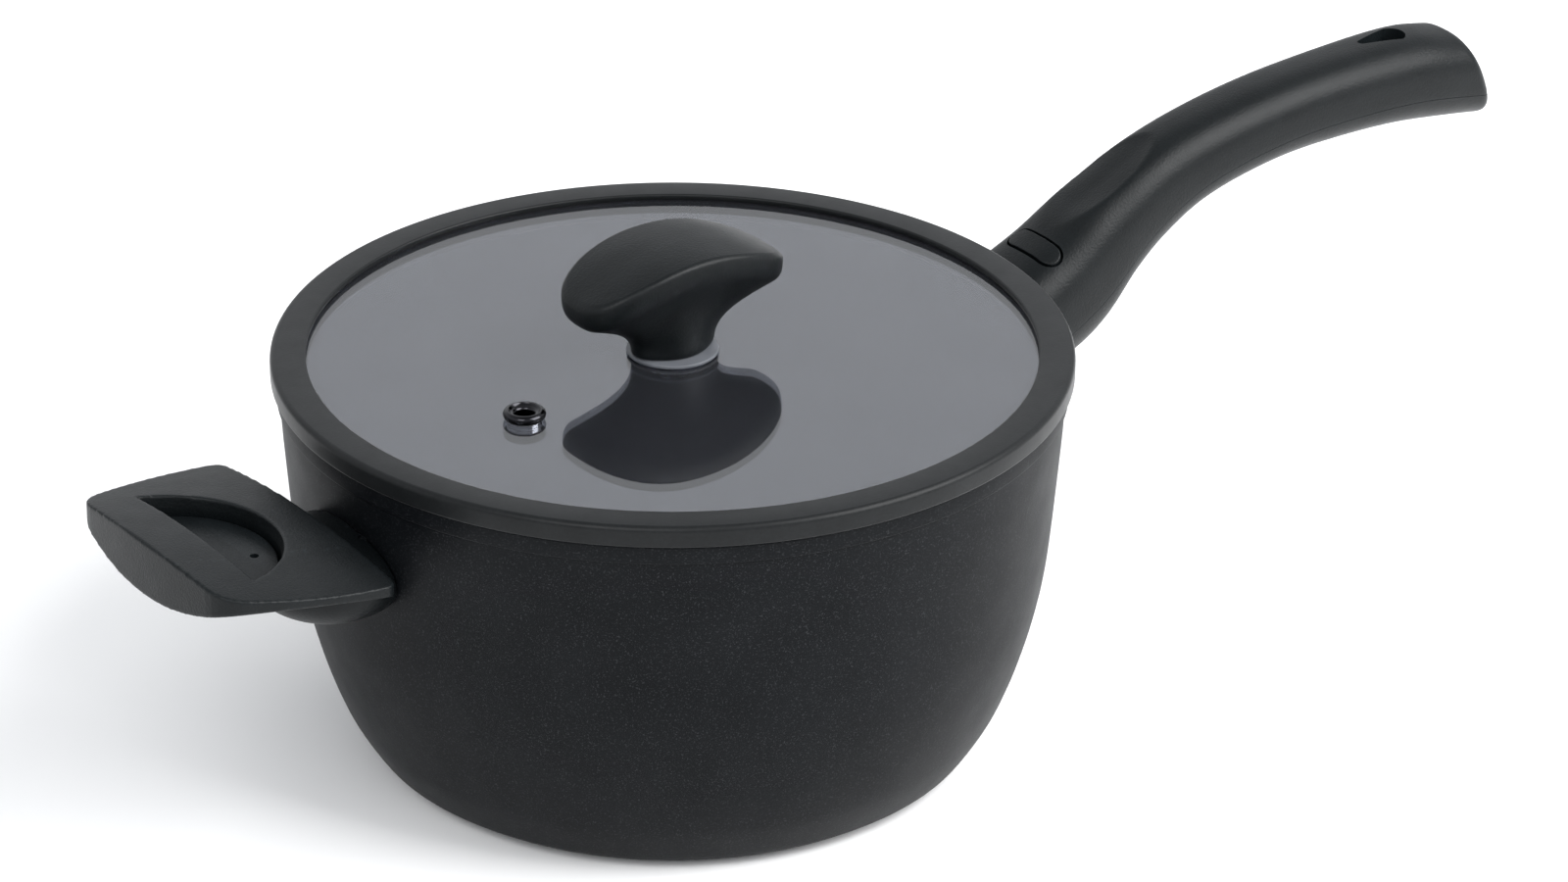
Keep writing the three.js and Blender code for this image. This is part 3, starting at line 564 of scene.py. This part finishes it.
def knob_slice(angle):
    """From the middle of the top, over the rounded edge, in under the overhang and down to the foot."""
    edge = Vector(oval(angle, KNOB_LENGTH, KNOB_WIDTH, 2.9))
    foot = Vector(oval(angle, 30, 21, 2)).length / edge.length
    end = 2 * edge.x / KNOB_LENGTH

    def arch(share):
        return KNOB_CREST - KNOB_DROP * (end * share) ** 2 + KNOB_CROWN * (1 - share**2)

    low = arch(1) - KNOB_EDGE
    round_x = 1.3 / edge.length
    top = [(share, arch(share)) for share in (mix(0.02, 1 - 1.6 * round_x, step / 14) for step in range(15))]
    shoulder = bezier((1 - 1.4 * round_x, arch(1 - 1.4 * round_x)), (1 - 0.4 * round_x, arch(1) - 0.1),
                      (1, arch(1) - 0.7), (1, arch(1) - 2.2), 8)
    heel = bezier((1, arch(1) - 2.2), (1, low + 2.2), (1 - 0.6 * round_x, low + 0.6), (0.93, low - 0.6), 8)
    under = bezier((0.93, low - 0.6), (mix(foot, 1, 0.55), mix(KNOB_FOOT, low, 0.78)),
                   (mix(foot, 1, 0.04), mix(KNOB_FOOT, low, 0.55)), (foot, KNOB_FOOT + 2.2), 14)
    base = bezier((foot, KNOB_FOOT + 2.2), (foot, KNOB_FOOT + 0.8), (foot * 0.97, KNOB_FOOT),
                  (foot * 0.9, KNOB_FOOT), 4)
    line = [*top, *shoulder, *heel[1:], *under[1:], *base[1:], (0.05, KNOB_FOOT)]
    return [(edge.x * share, edge.y * share, height) for share, height in line]


def knob():
    slices = [knob_slice(2 * math.pi * step / FINE) for step in range(FINE)]
    rings = [list(ring) for ring in zip(*slices)]
    finish(lofted("knob", rings, 60), "grip_plastic", "lid", "knob_grip")


def foot_gasket():
    """The round gasket under the knob's foot, with soft outer edges."""
    low, high = GASKET_LOW.z / MM, GASKET_HIGH.z / MM
    edge = GASKET_HIGH.x / MM - 0.4
    outline = [
        (2.6, low), *arc((edge, low + 0.4), 0.4, -90, 0, 4),
        *arc((edge, high - 0.4), 0.4, 0, 90, 4), (2.6, high),
    ]
    finish(turned("foot_gasket", outline), "clear_seal", "lid", "knob_foot_gasket")


# ---- Long handle ----------------------------------------------------------------------

HANDLE_START = 118
HANDLE_END = 328
TIP_LEAN = 6.5
HANDLE_TOP = reader([
    (118, 119), (145, 131.2), (165, 143.6), (190, 154.8), (215, 161), (245, 165), (280, 166.8), (305, 166.4),
    (328, 163.2),
])
HANDLE_UNDERSIDE = reader([
    (118, 80.8), (150, 90.2), (165, 98), (178, 111.6), (192, 122.2), (210, 131), (235, 136.4), (260, 137.9),
    (295, 136.6), (328, 130.6),
])
HANDLE_SPLIT = 0.34
TANG_ANGLE = math.radians(22)
TANG_ROOT = (134, 104)
# Along the tang's axis and across it.
BUTTON_ALONG = 18
BUTTON_ASIDE = 1.5
BUTTON_SIZE = (22.5, 7.4)
WELL_SIZE = (24.1, 9.2)
DISH_CENTRE = (171, 1.5)
DISH_REACH = (21.5, 10.5)
DISH_DEPTH = 2.8
WALL_CLEARANCE = 0.8
SPLIT_GAP = 0.08
# A wide round end, and a narrow end towards the pan.
HANGING_HOLE = arc((294.5, 0), 5.5, -72, 72, 16) + arc((282.6, 0), 1.6, 100, 260, 6)


def half_width(x):
    root = mix(20, 14.5, smoothstep(125, 205, x))
    return root + 1.5 * smoothstep(250, 315, x)


def thumb_dish(x, y):
    """Depth of the dish for the thumb on top, which starts softly by the button and ends in a crisp edge."""
    reach = ((x - DISH_CENTRE[0]) / DISH_REACH[0]) ** 2 + ((y - DISH_CENTRE[1]) / DISH_REACH[1]) ** 2
    return DISH_DEPTH * max(0.0, 1 - reach) ** 0.8 * smoothstep(146, 164, x)


def handle_body():
    rings = []
    stations = 210
    around = 96
    for station in range(stations + 1):
        along = station / stations
        x = mix(HANDLE_START, HANDLE_END, along)
        top, low = HANDLE_TOP(x), HANDLE_UNDERSIDE(x)
        squareness = mix(2.7, 2.45, smoothstep(130, 220, x))
        into_tip = min(1.0, max(0.0, (along - 0.965) / 0.035))
        spread = math.sqrt(max(0.0, 1 - 0.8 * into_tip**4))
        lean = TIP_LEAN * smoothstep(0.85, 1, along)
        ring = []
        for step in range(around):
            width, height = oval(2 * math.pi * step / around, 2, 2, squareness)
            y = width * half_width(x) * spread
            z = (top + low) / 2 + height * spread * (top - low) / 2
            if height > 0:
                z -= thumb_dish(x, y)
            ring.append((x - lean * height * spread, y, z))
        rings.append(ring)
    return lofted("long_handle", rings)


def on_tang(obj):
    """Places a piece drawn in the tang's axes: along it, across it and square to its top."""
    turn = Matrix.Rotation(-TANG_ANGLE, 4, "Y")
    obj.data.transform(Matrix.Translation((TANG_ROOT[0] * MM, 0, TANG_ROOT[1] * MM)) @ turn)
    return obj


def wall_space(clearance):
    band = PAN_TOP - 8
    outside = [(r + clearance, z) for r, z in WALL_LINE if z < band]
    return turned("wall_space", [(AXIS, -10), (98, -10), *outside, (127.3, band), (127.3, 200), (AXIS, 200)])


def split_space(raise_by):
    outline = [(100, 60), (360, 60)]
    for step in range(54):
        x = 360 - 5 * step
        clamped = min(HANDLE_END, max(HANDLE_START, x))
        outline.append((x, mix(HANDLE_UNDERSIDE(clamped), HANDLE_TOP(clamped), HANDLE_SPLIT) + raise_by))
    return lofted("split", [[(x, y, z) for x, z in outline] for y in (-30, 30)])


def turned_stadium(length, width):
    return [(-y, x) for x, y in stadium(length, width)]


def hollow_handle(handle):
    """Cuts the wall's curve, the socket, the button's well and the hanging hole."""
    combine(handle, wall_space(WALL_CLEARANCE), "DIFFERENCE")
    combine(handle, lug_room(), "DIFFERENCE")
    combine(handle, on_tang(block("socket", (0, -7.9, -5.4), (41.3, 7.9, 5.4))), "DIFFERENCE")
    well = prism("well", [(x + BUTTON_ALONG, y - BUTTON_ASIDE) for x, y in turned_stadium(*WELL_SIZE)], 5, 40)
    combine(handle, on_tang(well), "DIFFERENCE")
    combine(handle, prism("hanging_hole", HANGING_HOLE, 100, 200), "DIFFERENCE")


def lug_room():
    """The pocket in the handle's root, which slopes down so that the handle slides off past the lug."""
    low, high, slope = LUG_LOW - 0.4, LUG_LOW + 20.4, math.tan(TANG_ANGLE)
    outline = [(100, high), (100, low - 39 * slope), (139, low), (142, low), (142, high)]
    return lofted("lug_room", [[(x, y, z) for x, z in outline] for y in (-9.4, 9.4)])


def long_handle():
    whole = handle_body()
    hollow_handle(whole)
    lower = whole.copy()
    lower.data = whole.data.copy()
    bpy.context.scene.collection.objects.link(lower)
    lower.name = "long_handle_underside"
    combine(whole, split_space(SPLIT_GAP), "DIFFERENCE")
    combine(lower, split_space(-SPLIT_GAP), "INTERSECT")
    for shell, node in ((whole, "handle_upper_shell"), (lower, "handle_lower_shell")):
        tidy(shell, 38)
        finish(shell, "grip_plastic", "long_handle", node)


def release_button():
    outline = [(x + BUTTON_ALONG, y - BUTTON_ASIDE) for x, y in turned_stadium(*BUTTON_SIZE)]
    cap = lofted("button_cap", [[(x, y, n) for x, y in outline] for n in (9, 24)])
    on_tang(cap)
    combine(cap, offset_skin(0.35), "INTERSECT")
    softened(cap, 0.25, 3)
    finish(cap, "grip_plastic", "button", "release_button")


def offset_skin(raise_by):
    skin = handle_body()
    skin.data.transform(Matrix.Translation((-0.4 * raise_by * MM, 0, raise_by * MM)))
    return skin


# ---- Helper handle --------------------------------------------------------------------

HELPER_INNER = -136
HELPER_OUTER = -191.5
HELPER_REACH = HELPER_INNER - HELPER_OUTER
HELPER_INNER_HALF = 50
HELPER_OUTER_HALF = 41
HELPER_BOW = 3
HELPER_CROWN = 4.6
HELPER_BELLY = 11
HELPER_INNER_EDGE = 1.5
HELPER_OUTER_EDGE = 2.6
NECK_CENTRE = (-129.3, 94)
NECK_RADII = (25.4, 26.3, 14.5)
HELPER_SLOPE = math.tan(math.radians(7.4))
HELPER_EDGE_TOP = 110.3
POCKET_FLAT = -175.5
POCKET_HALF = 32.5
POCKET_DEPTH = 24.5
DRAIN_HOLE = (-161, -9.5)
DRAIN_RADIUS = 1.4


def pocket_outline(inset):
    """A segment of a circle whose flat side is towards the outer edge."""
    radius = (POCKET_HALF**2 + POCKET_DEPTH**2) / (2 * POCKET_DEPTH)
    centre = POCKET_FLAT + POCKET_DEPTH - radius
    reach = math.degrees(math.acos((POCKET_FLAT + inset - centre) / (radius - inset)))
    return arc((centre, 0), radius - inset, -reach, reach, 48)


def rounded_outline(corners, radii):
    """The corners' outline with each corner as an arc-like curve."""
    points = []
    befores, afters = corners[-1:] + corners[:-1], corners[1:] + corners[:1]
    for before, corner, after, radius in zip(befores, corners, afters, radii):
        here = Vector(corner)
        start = here + (Vector(before) - here).normalized() * radius
        end = here + (Vector(after) - here).normalized() * radius
        for step in range(7):
            t = step / 6
            points.append(tuple((1 - t) ** 2 * start + 2 * t * (1 - t) * here + t * t * end))
    return points


def helper_slab():
    """Crowned on top, bellied below and thin at its two side edges."""
    rows = []
    inner, outer = HELPER_INNER + 8, HELPER_OUTER - 6
    for step in range(81):
        across = mix(-1, 1, step / 80)
        swell = 1 - across**2
        row = []
        for x, side in ((inner, -1), (inner, 1), (outer, 1), (outer, -1)):
            edge = HELPER_EDGE_TOP + (HELPER_INNER - x) * HELPER_SLOPE
            out = (HELPER_INNER - x) / HELPER_REACH
            half = mix(HELPER_INNER_HALF, HELPER_OUTER_HALF, out) + 4
            low = edge - mix(HELPER_INNER_EDGE, HELPER_OUTER_EDGE, out) - HELPER_BELLY * swell
            row.append((x, across * half, edge + HELPER_CROWN * swell if side > 0 else low))
        rows.append(row)
    return lofted("helper_slab", rows)


def helper_neck():
    rings = []
    for row in range(1, 40):
        polar = math.pi * row / 40
        ring = []
        for step in range(64):
            turn = 2 * math.pi * step / 64
            ring.append((NECK_CENTRE[0] + NECK_RADII[0] * math.cos(polar),
                         NECK_RADII[1] * math.sin(polar) * math.cos(turn),
                         NECK_CENTRE[1] + NECK_RADII[2] * math.sin(polar) * math.sin(turn)))
        rings.append(ring)
    return lofted("helper_neck", rings)


def helper_outline():
    """Wider by the pan than at its outer edge, with those edges and its sides bowed a little."""
    corners = [
        (HELPER_OUTER, -HELPER_OUTER_HALF), (HELPER_INNER, -HELPER_INNER_HALF),
        (HELPER_INNER, HELPER_INNER_HALF), (HELPER_OUTER, HELPER_OUTER_HALF),
    ]
    centre_line = HELPER_REACH / 2
    bowed = []
    for x, y in subdivided(rounded_outline(corners, [8, 4, 4, 8])):
        side = HELPER_BOW * (1 - ((x - HELPER_INNER) / centre_line + 1) ** 2) * smoothstep(34, 40, abs(y))
        at_outer_edge = x < HELPER_OUTER + 5 and abs(y) < HELPER_OUTER_HALF
        outer = HELPER_BOW * (1 - (y / HELPER_OUTER_HALF) ** 2) if at_outer_edge else 0
        bowed.append((x - outer, y + math.copysign(max(0.0, side), y)))
    return bowed


def subdivided(outline):
    points = []
    for start, end in zip(outline, outline[1:] + outline[:1]):
        count = max(1, round((Vector(end) - Vector(start)).length / 3))
        points += [tuple(Vector(start).lerp(Vector(end), step / count)) for step in range(count)]
    return points


def drain_bore():
    """The small hole through the pocket's floor and the belly under it."""
    outline = [(AXIS, 60), (DRAIN_RADIUS, 60), (DRAIN_RADIUS, 120), (AXIS, 120)]
    return turned("drain", outline, DRAIN_HOLE, 32)


def helper_handle():
    slab = helper_slab()
    combine(slab, prism("helper_outline", helper_outline(), 60, 160), "INTERSECT")
    combine(slab, helper_neck(), "UNION")
    # How far the pocket's wall leans in or out of its outline, and at what height.
    levels = [(0.4, FLOOR_LOW.z / MM - GAP), (0.3, 113), (-1.1, 120), (-1.1, 160)]
    rings = [[(x, y, height) for x, y in pocket_outline(inset)] for inset, height in levels]
    pocket = lofted("pocket", rings)
    combine(slab, pocket, "DIFFERENCE")
    combine(slab, drain_bore(), "DIFFERENCE")
    lug = block("helper_lug_room", (-140.4, -11.4, LUG_LOW + 1.6), (-100, 11.4, LUG_LOW + 11.4))
    combine(slab, lug, "DIFFERENCE")
    combine(slab, wall_space(WALL_CLEARANCE), "DIFFERENCE")
    slab.name = "helper_handle"
    finish(softened(slab, 0.5, 5), "grip_plastic", "pan", "helper_grip")


def pocket_floor():
    low, high = FLOOR_LOW.z / MM, FLOOR_HIGH.z / MM
    floor = bevelled(prism("pocket_floor", pocket_outline(1.3), low, high), 0.5)
    combine(floor, drain_bore(), "DIFFERENCE")
    tidy(floor)
    finish(floor, "grip_plastic", "pan", "helper_floor")


# ---- Scene ----------------------------------------------------------------------------


def build():
    pan()
    lugs()
    induction_disc()
    lid_glass()
    lid_rim()
    steam_vent()
    knob()
    foot_gasket()
    long_handle()
    release_button()
    helper_handle()
    pocket_floor()


def carried_over():
    """Each CAD node that stays as it is gets its slot's procedural material."""
    slots = {part["node"]: part["material_slot"] for part in frame["record"]["subparts"]}
    for name, obj in frame["nodes"].items():
        obj.data.materials.clear()
        obj.data.materials.append(MATERIALS[slots[name]])


CAMERA_AZIMUTH = math.radians(-35.5)
CAMERA_PITCH = math.radians(26.36)
CAMERA_TARGET = (0, 0, 0.0995)
CAMERA_DISTANCE = 2.0
CAMERA_LENS = 145.67
CAMERA_SHIFT = 0.071
FLOOR_HALF = 4
FLOOR_LEVEL = -0.0002


def camera():
    level = math.cos(CAMERA_PITCH)
    back = Vector((math.sin(CAMERA_AZIMUTH) * level, -math.cos(CAMERA_AZIMUTH) * level, math.sin(CAMERA_PITCH)))
    data = bpy.data.cameras.new("camera")
    data.lens = CAMERA_LENS
    data.sensor_width = 36
    data.shift_x = CAMERA_SHIFT
    data.clip_end = 20
    obj = bpy.data.objects.new("camera", data)
    obj.location = Vector(CAMERA_TARGET) + CAMERA_DISTANCE * back
    obj.rotation_euler = back.to_track_quat("Z", "Y").to_euler()
    bpy.context.scene.collection.objects.link(obj)
    bpy.context.scene.camera = obj


def floor():
    surface = Surface("studio_floor", Base_Color=(0.95, 0.95, 0.95, 1), Roughness=0.9)
    corners = [(-FLOOR_HALF, -FLOOR_HALF), (FLOOR_HALF, -FLOOR_HALF), (FLOOR_HALF, FLOOR_HALF),
               (-FLOOR_HALF, FLOOR_HALF)]
    plane = piece_from("studio_floor", [(x, y, FLOOR_LEVEL) for x, y in corners], [(0, 1, 2, 3)])
    plane.data.materials.append(surface.material)


def area_light(name, place, aim, size, power):
    data = bpy.data.lights.new(name, "AREA")
    data.size = size
    data.energy = power
    obj = bpy.data.objects.new(name, data)
    obj.location = place
    obj.rotation_euler = (Vector(place) - Vector(aim)).to_track_quat("Z", "Y").to_euler()
    bpy.context.scene.collection.objects.link(obj)


def lights():
    """A studio that is brightest part of the way up, with a soft light from the front right and a fill."""
    world = bpy.data.worlds.new("studio")
    bpy.context.scene.world = world
    world.use_nodes = True
    tree = world.node_tree
    direction = tree.nodes.new("ShaderNodeTexCoord")
    split = tree.nodes.new("ShaderNodeSeparateXYZ")
    ramp = tree.nodes.new("ShaderNodeValToRGB")
    stops = [(0.0, 0.25), (0.28, 0.88), (0.46, 1.0), (0.65, 0.75), (1.0, 0.42)]
    while len(ramp.color_ramp.elements) < len(stops):
        ramp.color_ramp.elements.new(0.5)
    for element, (height, level) in zip(ramp.color_ramp.elements, stops):
        element.position = height
        element.color = (0.95 * level, 0.97 * level, level, 1)
    tree.links.new(direction.outputs["Generated"], split.inputs["Vector"])
    tree.links.new(split.outputs["Z"], ramp.inputs["Fac"])
    tree.links.new(ramp.outputs["Color"], tree.nodes["Background"].inputs["Color"])
    tree.nodes["Background"].inputs["Strength"].default_value = 1.2
    area_light("key", (0.95, -1.3, 1.4), (0.05, 0, 0.1), 1.6, 68)
    area_light("fill", (-1.3, -0.9, 1.5), (0, 0, 0.1), 1.0, 16)


build()
carried_over()
floor()
lights()
camera()
bpy.context.scene.view_settings.view_transform = "Standard"
